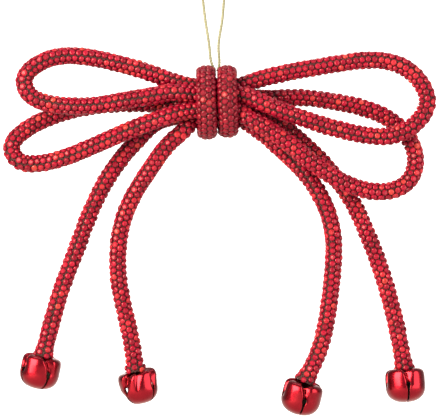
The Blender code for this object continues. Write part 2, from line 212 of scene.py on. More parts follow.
# The camera, the lights' target, and the paper, whose glow fades along a ramp that is GLOW_SIZE metres long
CAMERA_DISTANCE = 1.2
CAMERA_ASIDE = 0.0005625
CAMERA_BELOW_KNOT = 0.0395625
VIEW_WIDTH = 0.1635
SENSOR_WIDTH = 36
LIGHT_TARGET = (0, 0, -0.1)
WORLD_STRENGTH = 0.47
FLOOR_HEIGHT = -0.34
FLOOR_FRONT = -2.4
STAGE_HALF_WIDTH = 3.2
STAGE_BEND = 0.85
STAGE_BEND_STEPS = 12
BACKDROP_PLACE = 2.2
BACKDROP_TOP = 2.6
BACKDROP_MIDDLE = (0, BACKDROP_PLACE, -0.1)
GLOW_SIZE = 2.4
GLOW = ((0.0, 1.0), (0.30, 1.0), (0.70, 0.04))

# Each strand's place in the ring of six round the knot's middle: 0 is at the top and 90 degrees at the back
UPPER_TOP_CELL = math.radians(0)
UPPER_BOTTOM_CELL = math.radians(-60)
LOWER_BOTTOM_CELL = math.radians(-120)
INNER_TAIL_CELL = math.radians(180)
OUTER_TAIL_CELL = math.radians(120)
LOWER_TOP_CELL = math.radians(60)

# The routes run outwards from the knot. Each point is (out, up, back): out and up are shares of
# LOOP_REACH for a loop and of TAIL_DROP for a tail, and back is in rope thicknesses.
UPPER_RIGHT = (
    (0.164, 0.096, -0.05), (0.285, 0.129, -0.15), (0.436, 0.158, -0.25), (0.586, 0.182, -0.35),
    (0.738, 0.194, -0.45), (0.859, 0.164, -0.55), (0.942, 0.090, -0.62), (0.972, -0.002, -0.68),
    (0.920, -0.097, -0.72), (0.812, -0.154, -0.76), (0.664, -0.149, -0.80), (0.511, -0.112, -0.85),
    (0.359, -0.062, -0.95), (0.211, -0.004, -1.00),
)
UPPER_LEFT = (
    (-0.207, 0.100, 0.00), (-0.297, 0.133, -0.05), (-0.409, 0.168, -0.15), (-0.525, 0.196, -0.25),
    (-0.632, 0.213, -0.35), (-0.748, 0.207, -0.45), (-0.840, 0.165, -0.52), (-0.887, 0.100, -0.60),
    (-0.860, 0.034, -0.68), (-0.789, -0.002, -0.76), (-0.678, -0.018, -0.84), (-0.549, -0.014, -0.92),
    (-0.419, 0.008, -1.00), (-0.289, 0.030, -1.05), (-0.178, 0.045, -1.00),
)
LOWER_RIGHT = (
    (0.178, 0.027, 1.34), (0.294, 0.025, 1.24), (0.410, 0.024, 1.04), (0.549, 0.006, 0.85),
    (0.691, -0.026, 0.70), (0.813, -0.084, 0.58), (0.881, -0.149, 0.42), (0.916, -0.221, 0.20),
    (0.918, -0.302, 0.00), (0.880, -0.371, -0.20), (0.807, -0.407, -0.40), (0.720, -0.411, -0.60),
    (0.595, -0.373, -0.78), (0.489, -0.313, -0.88), (0.387, -0.234, -0.96), (0.285, -0.157, -1.02),
    (0.192, -0.099, -1.04), (0.142, -0.072, -1.02),
)
LOWER_LEFT = (
    (-0.178, 0.014, 1.30), (-0.289, -0.003, 1.20), (-0.419, -0.003, 1.00), (-0.549, -0.012, 0.85),
    (-0.678, -0.036, 0.70), (-0.806, -0.081, 0.55), (-0.900, -0.137, 0.40), (-0.950, -0.211, 0.20),
    (-0.919, -0.267, 0.00), (-0.840, -0.284, -0.15), (-0.725, -0.262, -0.32), (-0.613, -0.221, -0.48),
    (-0.484, -0.165, -0.64), (-0.354, -0.110, -0.82), (-0.238, -0.068, -0.98),
)
OUTER_RIGHT = (
    (0.135, -0.033, 0.60), (0.200, -0.056, 0.54), (0.272, -0.110, 0.46), (0.355, -0.186, 0.40),
    (0.435, -0.276, 0.40), (0.489, -0.355, 0.38), (0.539, -0.460, 0.34), (0.579, -0.561, 0.28),
    (0.616, -0.676, 0.20), (0.644, -0.784, 0.12), (0.665, -0.885, 0.06), (0.677, -0.952, 0.02),
)
OUTER_LEFT = (
    (-0.130, -0.045, 0.66), (-0.210, -0.068, 0.60), (-0.278, -0.126, 0.56), (-0.336, -0.191, 0.50),
    (-0.397, -0.278, 0.45), (-0.453, -0.390, 0.38), (-0.507, -0.532, 0.30), (-0.560, -0.675, 0.20),
    (-0.596, -0.799, 0.10), (-0.623, -0.906, 0.02),
)
INNER_RIGHT = (
    (0.136, -0.090, -0.09), (0.178, -0.121, 0.00), (0.221, -0.159, 0.06), (0.264, -0.199, 0.10),
    (0.314, -0.249, 0.12), (0.357, -0.307, 0.12), (0.392, -0.372, 0.10), (0.420, -0.478, 0.08),
    (0.421, -0.586, 0.06), (0.411, -0.687, 0.04), (0.394, -0.802, 0.02), (0.366, -0.903, 0.00),
    (0.323, -0.996, 0.00),
)
INNER_LEFT = (
    (-0.112, -0.095, -0.26), (-0.160, -0.138, -0.22), (-0.207, -0.193, -0.18), (-0.252, -0.259, -0.15),
    (-0.296, -0.330, -0.12), (-0.337, -0.427, -0.08), (-0.355, -0.532, -0.05), (-0.351, -0.651, -0.02),
    (-0.326, -0.774, 0.00), (-0.303, -0.885, 0.00), (-0.293, -0.959, 0.00),
)
THREAD_LEFT = ((0.17, 0.30), (0.42, 0.46), (0.62, 0.62), (0.75, 0.76), (0.78, 0.84))
THREAD_RIGHT = ((-0.02, 0.30), (0.19, 0.46), (0.35, 0.62), (0.60, 0.76), (0.77, 0.84))
CROWN_STEP = 30

BELL_TURNS = {
    "bell_outer_left": math.radians(31),
    "bell_inner_left": math.radians(-45),
    "bell_inner_right": math.radians(10),
    "bell_outer_right": math.radians(6),
}
# How far each bell's valleys turn about its axis on their way up
BELL_TWISTS = {
    "bell_outer_left": math.radians(-22),
    "bell_inner_left": math.radians(14),
    "bell_inner_right": math.radians(-14),
    "bell_outer_right": math.radians(-10),
}
BELL_LEANS = {
    "bell_outer_left": math.radians(-12.5),
    "bell_inner_left": math.radians(13),
    "bell_inner_right": math.radians(-14),
    "bell_outer_right": math.radians(3.5),
}
# How far each bell's top tips towards the front
BELL_TILTS = {
    "bell_outer_left": math.radians(3),
    "bell_inner_left": math.radians(4),
    "bell_inner_right": math.radians(8),
    "bell_outer_right": math.radians(-4),
}

# Where the dark seam between two rows of stones lies: (share of the rope's length, degrees round the rope).
# 90 faces the front of the bow, and 0 the left of the way that the rope runs. In the wrap 180 faces inwards.
SEAMS = {
    "upper_loops": ((0.0, 60), (0.5, 60), (0.78, 100), (0.90, 85), (1.0, 60)),
    "lower_loops": ((0.0, 200), (0.42, 205), (0.60, 110), (1.0, 60)),
    "outer_tails": ((0.0, 90), (0.5, 40), (1.0, 10)),
    "inner_tails": ((0.0, 20), (0.5, 60), (0.62, 95), (0.72, 135), (0.90, 125), (1.0, 135)),
    "centre_wrap": ((0.0, 180), (1.0, 180)),
}


def cubic_spline(points):
    """Dense samples of the smooth curve through the points (a natural cubic spline over chord length)."""
    points = np.array([tuple(point) for point in points])
    chords = np.linalg.norm(np.diff(points, axis=0), axis=1)
    count = len(points)
    system = np.eye(count)
    right = np.zeros((count, 3))
    for i in range(1, count - 1):
        before, after = chords[i - 1], chords[i]
        system[i, i - 1 : i + 2] = before, 2 * (before + after), after
        slopes = (points[i + 1] - points[i]) / after - (points[i] - points[i - 1]) / before
        right[i] = 6 * slopes
    bends = np.linalg.solve(system, right)
    samples = []
    for i in range(count - 1):
        length = chords[i]
        for step in range(SPLINE_STEPS):
            t = length * step / SPLINE_STEPS
            rest = length - t
            samples.append(
                (bends[i] * rest**3 + bends[i + 1] * t**3) / (6 * length)
                + (points[i] / length - bends[i] * length / 6) * rest
                + (points[i + 1] / length - bends[i + 1] * length / 6) * t
            )
    samples.append(points[-1])
    return np.array(samples)


def evenly_spaced(samples, spacing):
    """Points at equal distances along the polyline, both ends kept, and those distances."""
    along = np.concatenate([[0], np.cumsum(np.linalg.norm(np.diff(samples, axis=0), axis=1))])
    places = np.linspace(0, along[-1], round(along[-1] / spacing) + 1)
    return np.stack([np.interp(places, along, samples[:, axis]) for axis in range(3)], axis=1), places


def unit(vectors):
    return vectors / np.linalg.norm(vectors, axis=-1, keepdims=True)


def clamp(value):
    return min(1, max(0, value))


class Line:
    """The middle of a rope, with a direction across it that is carried along without twisting."""

    def __init__(self, samples, first_side=None):
        self.points, self.along = evenly_spaced(samples, LINE_SPACING)
        self.length = self.along[-1]
        self.headings = unit(np.gradient(self.points, axis=0))
        self.bends = np.gradient(self.headings, self.along, axis=0)
        side = np.cross(self.headings[0], (0, 1, 0)) if first_side is None else np.array(first_side)
        sides = []
        for heading in self.headings:
            side = unit(side - heading * np.dot(side, heading))
            sides.append(side)
        self.sides = np.array(sides)

    def read(self, rows, places):
        return np.stack([np.interp(places, self.along, rows[:, axis]) for axis in range(3)], axis=1)

    def at(self, places):
        """Points, headings, sides, directions across both, and bends at these distances along."""
        headings = unit(self.read(self.headings, places))
        sides = self.read(self.sides, places)
        sides = unit(sides - headings * np.sum(sides * headings, axis=1, keepdims=True))
        bends = self.read(self.bends, places)
        return self.read(self.points, places), headings, sides, np.cross(headings, sides), bends


# Routes

def cell(angle, across):
    """The place of the strand at this angle of the ring, this far to the right of the knot's middle."""
    return KNOT + Vector((across, BUNDLE_PITCH * math.sin(angle), BUNDLE_PITCH * math.cos(angle)))


def passage(angle, start, end):
    """A strand's places through the knot, evenly from start to end across it."""
    count = max(3, round(abs(end - start) / PASSAGE_SPACING) + 1)
    return [cell(angle, start + (end - start) * step / (count - 1)) for step in range(count)]


def placed(route, reach):
    """A route's places: out and up grow with the reach, and back with the rope's thickness."""
    return [KNOT + Vector((out * reach, back * LAYER, up * reach)) for out, up, back in route]


def loops_line(right, left, first_cell, second_cell):
    """One rope through its right loop, the knot and its left loop, with both its ends in the knot."""
    return cubic_spline(
        passage(first_cell, GAP / 2, WRAP_HALF_WIDTH)
        + placed(right, LOOP_REACH)
        + passage(second_cell, WRAP_HALF_WIDTH, -WRAP_HALF_WIDTH)
        + placed(left, LOOP_REACH)
        + passage(first_cell, -WRAP_HALF_WIDTH, -GAP / 2)
    )


def tails_line(left, right, through):
    """One rope from its left end through the knot to its right end."""
    return cubic_spline(
        placed(left, TAIL_DROP)[::-1]
        + passage(through, -WRAP_HALF_WIDTH, WRAP_HALF_WIDTH)
        + placed(right, TAIL_DROP)
    )


def tucked(samples):
    """A tail's middle line, run on at both ends to where its stones rest on the bells."""
    first = unit(samples[0] - samples[1])
    last = unit(samples[-1] - samples[-2])
    return np.concatenate([[samples[0] + first * TAIL_TUCK], samples, [samples[-1] + last * TAIL_TUCK]])


def wrap_line():
    """The wrap's two turns. The second is tighter and higher than the first."""
    samples = []
    for step in range(WRAP_STEPS + 1):
        angle = WRAP_START + (WRAP_END - WRAP_START) * step / WRAP_STEPS
        share = clamp((angle - WRAP_SHIFT_START) / (WRAP_SHIFT_END - WRAP_SHIFT_START))
        share = share * share * (3 - 2 * share)
        radius = WRAP_RADIUS - SECOND_TURN_TIGHTER * share
        across = LANE * (2 * share - 1)
        across += FRONT_SHIFT * max(0, -math.sin(angle - FRONT_SHIFT_END)) ** 2
        lift = SECOND_TURN_LIFT * share
        samples.append((across, -math.cos(angle) * radius, math.sin(angle) * radius + lift))
    return np.array(KNOT) + np.array(samples)


def facing_outwards(line):
    """The wrap's flat side faces away from the bundle all the way round."""
    line.sides = unit((line.points - np.array(KNOT)) * (0, 1, 1))
    return line


# Sections and flares

def rope_section(line, places):
    """How far the rope's outside reaches to the side and across, as shares of its full size."""
    points = line.read(line.points, places)
    beyond = np.abs(points[:, 0]) - WRAP_HALF_WIDTH
    below = np.abs(points[:, 2] - KNOT.z) - WRAP_INNER_RADIUS
    share = SOFT_SQUEEZE + (1 - SOFT_SQUEEZE) * np.clip(np.maximum(beyond, below) / SQUEEZE_EASE, 0, 1)
    return share, share


def wrap_section(line, places):
    """The wrap is thinner than a round rope, and wider."""
    full = np.ones(len(places))
    return full * WRAP_THICKNESS / ROPE_DIAMETER, full * WRAP_WIDTH / ROPE_DIAMETER * WRAP_SPREAD


def no_flare(places):
    return np.zeros(len(places))


def flared_ends(line, flare):
    """A tail's ends spread where they sit on the bells."""
    def flares(places):
        from_end = np.minimum(places, line.length - places)
        return flare * np.clip(1 - from_end / FLARE_LENGTH, 0, 1) ** FLARE_POWER
    return flares


# Stones and net

def stone_shape():
    """A faceted stone of radius 1 that stands on z 0 and is 1 high, its foot below 0."""
    corners = STONE_CORNERS
    points, faces = [], []
    for radius, height, turn in STONE_RINGS:
        for corner in range(corners):
            angle = 2 * math.pi * (corner + turn) / corners
            points.append((radius * math.cos(angle), radius * math.sin(angle), height))
    for corner in range(corners):
        after = (corner + 1) % corners
        faces.append((corner, after, corners + after, corners + corner))
        faces.append((corners + corner, corners + after, 2 * corners + corner))
        faces.append((corners + after, 2 * corners + after, 2 * corners + corner))
        faces.append((2 * corners + corner, 2 * corners + after, 3 * corners + after))
        faces.append((2 * corners + corner, 3 * corners + after, 3 * corners + corner))
    faces.append(tuple(range(corners))[::-1])
    faces.append(tuple(range(3 * corners, 4 * corners)))
    return np.array(points), faces


def round_ellipse(half_side, half_across):
    """Angles round an ellipse at shares of its edge, as a function of the share."""
    angles = np.linspace(0, 2 * math.pi, EDGE_POINTS)
    edge = np.stack([half_side * np.cos(angles), half_across * np.sin(angles)], axis=1)
    along = np.concatenate([[0], np.cumsum(np.linalg.norm(np.diff(edge, axis=0), axis=1))])
    return lambda share: np.interp(share % 1, along / along[-1], angles)


def stone_places(line, section, seam, pitch, flares):
    """Every stone's top on the rope, its outward direction, the rope's heading there and its size."""
    random = np.random.default_rng(PLACES_SEED)
    keys = np.array(seam, float)
    per_row = round(line.length / pitch)
    row_width = 360 / STONE_ROWS
    row_step = (360 - row_width - SEAM_WIDTH) / (STONE_ROWS - 1)
    places, turns = [], []
    for row in range(STONE_ROWS):
        steps = (np.arange(per_row) + ROW_STARTS[row % 2]) * line.length / per_row
        places.append(steps + random.normal(0, STONE_WANDER, per_row))
        turns.append(np.full(per_row, (row_width + SEAM_WIDTH) / 2 + row_step * row))
    places = np.clip(np.concatenate(places), STONE_END_MARGIN, line.length - STONE_END_MARGIN)
    turns = np.concatenate(turns) + random.normal(0, STONE_TURN_WANDER, len(places))
    seam_now = np.interp(places / line.length, keys[:, 0], keys[:, 1])
    share_side, share_across = section(line, places)
    edge = round_ellipse(share_side[0], share_across[0])
    angles = edge((turns + seam_now) / 360)
    points, headings, sides, across, bends = line.at(places)
    reach = STONE_REACH + flares(places) + random.normal(0, STONE_WANDER, len(places))
    out_side = reach * share_side * np.cos(angles)
    out_across = reach * share_across * np.sin(angles)
    outside = points + sides * out_side[:, None] + across * out_across[:, None]
    normal = unit(
        sides * (np.cos(angles) / share_side)[:, None]
        + across * (np.sin(angles) / share_across)[:, None]
    )
    stretch = 1 - np.sum(bends * (outside - points), axis=1) * BEND_SHARE
    room = stretch * line.length / per_row / (2 * STONE_RADIUS + STONE_CLEARANCE)
    size = np.clip(room, SMALLEST_STONE, 1) * random.uniform(*STONE_SIZES, len(places))
    return outside, normal, headings, size


def stones_mesh(line, section, seam, pitch, flares):
    """All stones of a rope, each leaning and turned by chance, with a tone a stone and a share of painted
    light a corner, which makes facets lighter or darker as if they caught the light.
    """
    random = np.random.default_rng(TURNS_SEED)
    outside, normal, headings, size = stone_places(line, section, seam, pitch, flares)
    count = len(outside)
    upright = unit(normal + random.normal(0, STONE_LEAN, (count, 3)))
    spin = random.uniform(0, 2 * math.pi, count)
    first = unit(np.cross(upright, headings))
    second = np.cross(upright, first)
    u = first * np.cos(spin)[:, None] + second * np.sin(spin)[:, None]
    v = np.cross(upright, u)
    shape, faces = stone_shape()
    foot = outside - normal * STONE_HEIGHT
    scaled = shape * np.array([STONE_RADIUS, STONE_RADIUS, STONE_HEIGHT])
    points = (
        foot[:, None]
        + u[:, None] * scaled[:, 0][None, :, None] * size[:, None, None]
        + v[:, None] * scaled[:, 1][None, :, None] * size[:, None, None]
        + upright[:, None] * scaled[:, 2][None, :, None]
    )
    tone = np.repeat(random.uniform(0, 1, count), len(shape))
    # Painted glints and shade: a random share of light for each corner of a stone
    painted_facet_light = random.uniform(0, 1, count * len(shape))
    all_faces = []
    for start in range(0, count * len(shape), len(shape)):
        all_faces += [tuple(start + corner for corner in face) for face in faces]
    return points.reshape(-1, 3), all_faces, {"tone": tone, "painted_facet_light": painted_facet_light}


def tube_faces(start, rings, sides):
    """The faces of a tube whose points come ring by ring: its wall, then its two ends."""
    faces = []
    for low in range(start, start + (rings - 1) * sides, sides):
        high = low + sides
        for corner in range(sides):
            after = (corner + 1) % sides
            faces.append((low + corner, low + after, high + after, high + corner))
    last = start + (rings - 1) * sides
    faces.append(tuple(range(start, start + sides))[::-1])
    faces.append(tuple(range(last, last + sides)))
    return faces


def net_mesh(line, section, flares):
    """The dark net tube under the stones, with each face corner's place in the weave."""
    count = round(line.length / NET_SPACING) + 1
    places = np.linspace(0, line.length, count)
    points, _, sides, across, _ = line.at(places)
    share_side, share_across = section(line, places)
    angles = np.arange(NET_SIDES) * 2 * math.pi / NET_SIDES
    reach = NET_RADIUS + flares(places)
    rings = (
        points[:, None]
        + sides[:, None] * (reach * share_side)[:, None, None] * np.cos(angles)[None, :, None]
        + across[:, None] * (reach * share_across)[:, None, None] * np.sin(angles)[None, :, None]
    )
    weave = []
    for along, beyond in zip(places * WEAVE_UNITS, places[1:] * WEAVE_UNITS):
        for corner in range(NET_SIDES):
            near, far = corner / NET_SIDES, (corner + 1) / NET_SIDES
            weave += [(along, near), (along, far), (beyond, far), (beyond, near)]
    weave += [(math.cos(angle) / END_WEAVE_SPAN, math.sin(angle) / END_WEAVE_SPAN) for angle in angles] * 2
    return rings.reshape(-1, 3), tube_faces(0, count, NET_SIDES), weave


def linked(name, data, node):
    """A piece of the ornament in the scene, in the place of its node."""
    piece = bpy.data.objects.new(name, data)
    bpy.context.scene.collection.objects.link(piece)
    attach(piece, "root")
    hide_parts(node)
    return piece


def rope_piece(name, line, section, materials, pitch=STONE_PITCH, flares=no_flare):
    """A rope: its net has the first of the materials and smooth walls, its stones have the second."""
    net_points, net_faces, weave = net_mesh(line, section, flares)
    points, faces, values = stones_mesh(line, section, SEAMS[name], pitch, flares)
    shift = len(net_points)
    mesh = bpy.data.meshes.new(name + "_glitter")
    stone_faces = [tuple(corner + shift for corner in face) for face in faces]
    mesh.from_pydata(np.concatenate([net_points, points]).tolist(), [], net_faces + stone_faces)
    smooth = np.zeros(len(mesh.polygons), bool)
    smooth[: len(net_faces) - 2] = True
    mesh.polygons.foreach_set("use_smooth", smooth)
    is_stone = np.arange(len(mesh.polygons)) >= len(net_faces)
    mesh.polygons.foreach_set("material_index", is_stone.astype(int))
    for label, value in values.items():
        attribute = mesh.attributes.new(label, "FLOAT", "POINT")
        attribute.data.foreach_set("value", np.concatenate([np.zeros(shift), value]).astype(np.float32))
    corners = np.zeros((len(mesh.loops), 2), np.float32)
    corners[: len(weave)] = weave
    mesh.uv_layers.new(name="weave").data.foreach_set("uv", corners.ravel())
    for material in materials:
        mesh.materials.append(material)
    mesh.validate()
    return linked(name + "_glitter", mesh, name)


# Thread

def wrap_surface(across):
    """How high the wrap's top lies over the knot's middle, this far to the side."""
    from_turn = (abs(across) - LANE) / (WRAP_WIDTH / 2)
    return WRAP_RADIUS + WRAP_THICKNESS / 2 * math.sqrt(max(0, 1 - from_turn * from_turn))


def thread_strand(foot, strand, side):
    """One strand's places from its foot up: right and up from the knot. Side is -1 on the left, else 1."""
    points = [(side * foot, wrap_surface(foot) + GAP + THREAD_DIAMETER / 4)]
    for out, up in strand:
        points.append((side * (foot + out * THREAD_SPREAD / 2), up * THREAD_RISE))
    return points


def thread_route():
    """The thread's route, from its left foot over the crown to its right foot."""
    half = THREAD_SPREAD / 2
    angles = [math.radians(degrees) for degrees in range(180, -1, -CROWN_STEP)]
    crown = [(half * math.cos(angle), THREAD_RISE - half + half * math.sin(angle)) for angle in angles]
    left = thread_strand(THREAD_LEFT_FOOT, THREAD_LEFT, -1)
    right = thread_strand(THREAD_RIGHT_FOOT, THREAD_RIGHT, 1)
    return [KNOT + Vector((across, 0, up)) for across, up in left + crown + right[::-1]]


def ply_points(line, places, ply):
    """One ply's points, ring by ring."""
    points, _, sides, across, _ = line.at(places)
    radius = THREAD_DIAMETER / 4
    turns = 2 * math.pi * places / PLY_TWIST + math.pi * ply
    outward = sides * np.cos(turns)[:, None] + across * np.sin(turns)[:, None]
    middle = points + outward * radius
    heading = unit(np.gradient(middle, axis=0))
    around = unit(np.cross(heading, outward))
    out = unit(np.cross(around, heading))
    angles = np.arange(PLY_SIDES) * 2 * math.pi / PLY_SIDES
    rings = (
        middle[:, None]
        + out[:, None] * radius * PLY_FULLNESS * np.cos(angles)[None, :, None]
        + around[:, None] * radius * PLY_FULLNESS * np.sin(angles)[None, :, None]
    )
    return rings.reshape(-1, 3).tolist()


def outward_normals(mesh):
    work = bmesh.new()
    work.from_mesh(mesh)
    bmesh.ops.recalc_face_normals(work, faces=work.faces)
    work.to_mesh(mesh)
    work.free()


def build_thread(material):
    """The thread's loop, with both its ends tucked into the valley of the wrap."""
    route = thread_route()
    left_tuck, right_tuck = THREAD_TUCKS
    route = [route[0] + Vector(left_tuck), *route, route[-1] + Vector(right_tuck)]
    line = Line(cubic_spline(route), first_side=(0, 1, 0))
    places = np.linspace(0, line.length, round(line.length / PLY_SPACING) + 1)
    vertices, faces = [], []
    for ply in range(2):
        faces += tube_faces(len(vertices), len(places), PLY_SIDES)
        vertices += ply_points(line, places, ply)
    mesh = bpy.data.meshes.new("gold_thread")
    mesh.from_pydata(vertices, [], faces)
    outward_normals(mesh)
    mesh.polygons.foreach_set("use_smooth", np.ones(len(mesh.polygons), bool))
    mesh.materials.append(material)
    piece = linked("gold_thread", mesh, "hanging_thread")


# Bells

def bell_turn(name):
    """The turn from an upright bell, with a slot across the bow, to the bell as it hangs."""
    return (
        Matrix.Rotation(-BELL_LEANS[name], 4, "Y")
        @ Matrix.Rotation(BELL_TILTS[name], 4, "X")
        @ Matrix.Rotation(BELL_TURNS[name] - math.pi / 2, 4, "Z")
    )


def bell_surface(share, turn, inset):
    """A point of the bell, this share of the way up from its bottom and at this turn about its axis."""
    radius = BELL_DIAMETER / 2 - inset
    half_height = BELL_HEIGHT / 2 - inset
    angle = math.pi * share - math.pi / 2
    square = BELL_SQUARENESS_BOTTOM if angle < 0 else BELL_SQUARENESS_TOP
    out = radius * abs(math.cos(angle)) ** (2 / square)
    up = half_height * math.copysign(abs(math.sin(angle)) ** (2 / square), angle)
    out_slope = (out / radius) ** (square - 1) / radius
    up_slope = math.copysign(abs(up / half_height) ** (square - 1), up) / half_height
    slope = Vector((out_slope, up_slope)).normalized()
    risen = clamp((up - HOLE_HEIGHT + VALLEY_FOOT) / (half_height - HOLE_HEIGHT))
    from_slot = ((turn + math.pi / 4) % (math.pi / 2) - math.pi / 4) * max(out, SMALLEST_OUT)
    side = 0 if from_slot < 0 else 1
    width = VALLEY_WIDTHS_LOW[side] + (VALLEY_WIDTHS_TOP[side] - VALLEY_WIDTHS_LOW[side]) * risen
    aside = clamp(abs(from_slot) / width)
    wall = (1 - aside) ** SLOPED_WALL_POWER if side else (1 - aside ** 2) ** ROUND_WALL_POWER
    depth = VALLEY_DEPTH * risen ** VALLEY_RISE_POWER * wall * clamp(out / CROWN_RADIUS)
    depth *= 1 - VALLEY_TOP_LOSS * max(0, slope.y)
    reach = max(SMALLEST_REACH, out - slope.x * depth)
    return reach * math.cos(turn), reach * math.sin(turn), up - slope.y * depth


def bell_shell(mesh, inset, index):
    """One closed surface of the bell, inset from the outside. Its segments crowd together at the slots."""
    half_height = BELL_HEIGHT / 2 - inset
    turns = []
    for segment in range(BELL_SEGMENTS):
        quarter, step = divmod(segment, BELL_SEGMENTS // 4)
        share = 8 * step / BELL_SEGMENTS - 1
        aside = math.pi / 4 * math.copysign(abs(share) ** SEGMENT_CROWDING, share)
        turns.append(math.pi / 2 * quarter + aside)
    rings = []
    for ring in range(1, BELL_RINGS):
        rings.append([mesh.verts.new(bell_surface(ring / BELL_RINGS, turn, inset)) for turn in turns])
    bottom = mesh.verts.new((0, 0, -half_height))
    top = mesh.verts.new((0, 0, half_height))
    for segment in range(BELL_SEGMENTS):
        after = (segment + 1) % BELL_SEGMENTS
        faces = [mesh.faces.new((bottom, rings[0][after], rings[0][segment]))]
        faces.append(mesh.faces.new((top, rings[-1][segment], rings[-1][after])))
        for low, high in zip(rings, rings[1:]):
            faces.append(mesh.faces.new((low[segment], low[after], high[after], high[segment])))
        for face in faces:
            face.material_index = index
            if index == INSIDE:
                face.normal_flip()


def object_of(name, mesh, materials):
    """An object with the mesh's faces and the materials. The mesh itself is freed."""
    data = bpy.data.meshes.new(name)
    mesh.to_mesh(data)
    mesh.free()
    for material in materials:
        data.materials.append(material)
    obj = bpy.data.objects.new(name, data)
    bpy.context.scene.collection.objects.link(obj)
    return obj


def bell_cutter(name, quarter, materials):
    """A prism across the bell: a round hole that narrows into a slot down to the bottom."""
    radius = BELL_HOLE_DIAMETER / 2
    outline = []
    for step in range(HOLE_ARC_STEPS + 1):
        angle = math.radians(HOLE_ARC_START + HOLE_ARC_SWEEP * step / HOLE_ARC_STEPS)
        outline.append((radius * math.cos(angle), HOLE_HEIGHT + radius * math.sin(angle)))
    half = BELL_SLOT_WIDTH / 2
    narrow = HOLE_HEIGHT - HOLE_TAPER
    outline += [(-half, narrow), (-half, -BELL_HEIGHT), (half, -BELL_HEIGHT), (half, narrow)]
    mesh = bmesh.new()
    ends = [[mesh.verts.new((side * BELL_DIAMETER, x, z)) for x, z in outline] for side in (-1, 1)]
    for step in range(len(outline)):
        after = (step + 1) % len(outline)
        mesh.faces.new((ends[0][step], ends[0][after], ends[1][after], ends[1][step]))
    mesh.faces.new(ends[0])
    mesh.faces.new(ends[1])
    bmesh.ops.recalc_face_normals(mesh, faces=mesh.faces)
    for face in mesh.faces:
        face.material_index = CUT_EDGE
    mesh.transform(Matrix.Rotation(math.pi / 2 * quarter, 4, "Z"))
    return object_of(name, mesh, materials)


def bell_mesh(materials):
    """An upright bell with its middle at the origin: a hollow shell, cut by two crossed slots."""
    mesh = bmesh.new()
    bell_shell(mesh, 0, OUTSIDE)
    bell_shell(mesh, BELL_WALL, INSIDE)
    shell = object_of("bell_shell", mesh, materials)
    cutters = [bell_cutter(f"slot_{quarter}", quarter, materials) for quarter in range(2)]
    for tool in cutters:
        cut = shell.modifiers.new(tool.name, "BOOLEAN")
        cut.operation = "DIFFERENCE"
        cut.solver = "EXACT"
        cut.object = tool
    bpy.context.view_layer.update()
    graph = bpy.context.evaluated_depsgraph_get()
    finished = bpy.data.meshes.new_from_object(shell.evaluated_get(graph))
    for obj in [shell, *cutters]:
        bpy.data.objects.remove(obj, do_unlink=True)
    return finished


def drawn_in(vertex, most, heights, height, share):
    """The vertex comes nearer to the axis by a share of the most, which fades in over the heights."""
    first, span = heights
    push = most * clamp((first - height) / span) * share
    vertex.co.x *= 1 - push
    vertex.co.y *= 1 - push


def pressed_petals(data):
    """One petal is pushed in below, the opposite one is turned in along a slot, and a third has a dent."""
    for vertex in data.vertices:
        height = vertex.co.z / (BELL_HEIGHT / 2)
        turn = math.degrees(math.atan2(vertex.co.y, vertex.co.x))
        if -90 < turn < 0:
            drawn_in(vertex, PUSHED_IN, PUSHED_HEIGHTS, height, math.sin(math.radians(-2 * turn)))
        if turn > 90:
            drawn_in(vertex, TURNED_IN, TURNED_HEIGHTS, height, math.sin(math.radians(turn - 90)))
        out = math.hypot(vertex.co.x, vertex.co.y)
        turn = math.atan2(vertex.co.y, vertex.co.x)
        aside = (turn - DENT_TURN) * out
        risen = clamp(height - DENT_FOOT)
        width = DENT_WIDTHS[0 if aside < 0 else 1] * (DENT_FOOT_WIDTH + (1 - DENT_FOOT_WIDTH) * risen)
        wall = max(0, 1 - abs(aside) / width) ** SLOPED_WALL_POWER
        depth = DENT_DEPTH * risen ** DENT_RISE_POWER * wall * clamp(out / CROWN_RADIUS)
        down = min(1, height) ** DENT_DOWN_POWER
        vertex.co.x -= depth * math.cos(turn) * (1 - down)
        vertex.co.y -= depth * math.sin(turn) * (1 - down)
        vertex.co.z -= depth * down


def twisted_top(data, twist):
    """The bell's upper part turns about its axis, more towards the top, so that its valleys run aslant."""
    for vertex in data.vertices:
        share = clamp((vertex.co.z - HOLE_HEIGHT) / (BELL_HEIGHT / 2 - HOLE_HEIGHT))
        vertex.co = Matrix.Rotation(twist * share ** TWIST_POWER, 4, "Z") @ vertex.co


def build_bells(ends, materials):
    """A bell at each tail's end, on the side that the end heads for."""
    shape = bell_mesh(materials)
    for name, (end, heading) in ends.items():
        turn = bell_turn(name)
        axis = (turn @ Vector((0, 0, -1))).normalized()
        apart = axis.angle(Vector(heading))
        top = Vector(end) + axis * (GAP + ROPE_DIAMETER / 2 * math.sin(apart))
        data = shape.copy()
        if name == "bell_inner_left":
            pressed_petals(data)
        twisted_top(data, BELL_TWISTS[name])
        data.transform(Matrix.Translation(top + axis * BELL_HEIGHT / 2) @ turn)
        for face in data.polygons:
            face.use_smooth = face.material_index != CUT_EDGE
        linked(name + "_shell", data, name)


# Materials

def new_material(name):
    material = bpy.data.materials.new(name)
    material.use_nodes = True
    tree = material.node_tree
    return material, tree, tree.nodes["Principled BSDF"]


def ramp(tree, source, stops):
    """The source turned into a colour or a number by stops of (source, colour or number)."""
    node = tree.nodes.new("ShaderNodeValToRGB")
    while len(node.color_ramp.elements) < len(stops):
        node.color_ramp.elements.new(0.5)
    for element, (place, value) in zip(node.color_ramp.elements, stops):
        element.position = place
        element.color = (*value, 1) if isinstance(value, tuple) else (value, value, value, 1)
    tree.links.new(source, node.inputs["Fac"])
    return node.outputs["Color"]


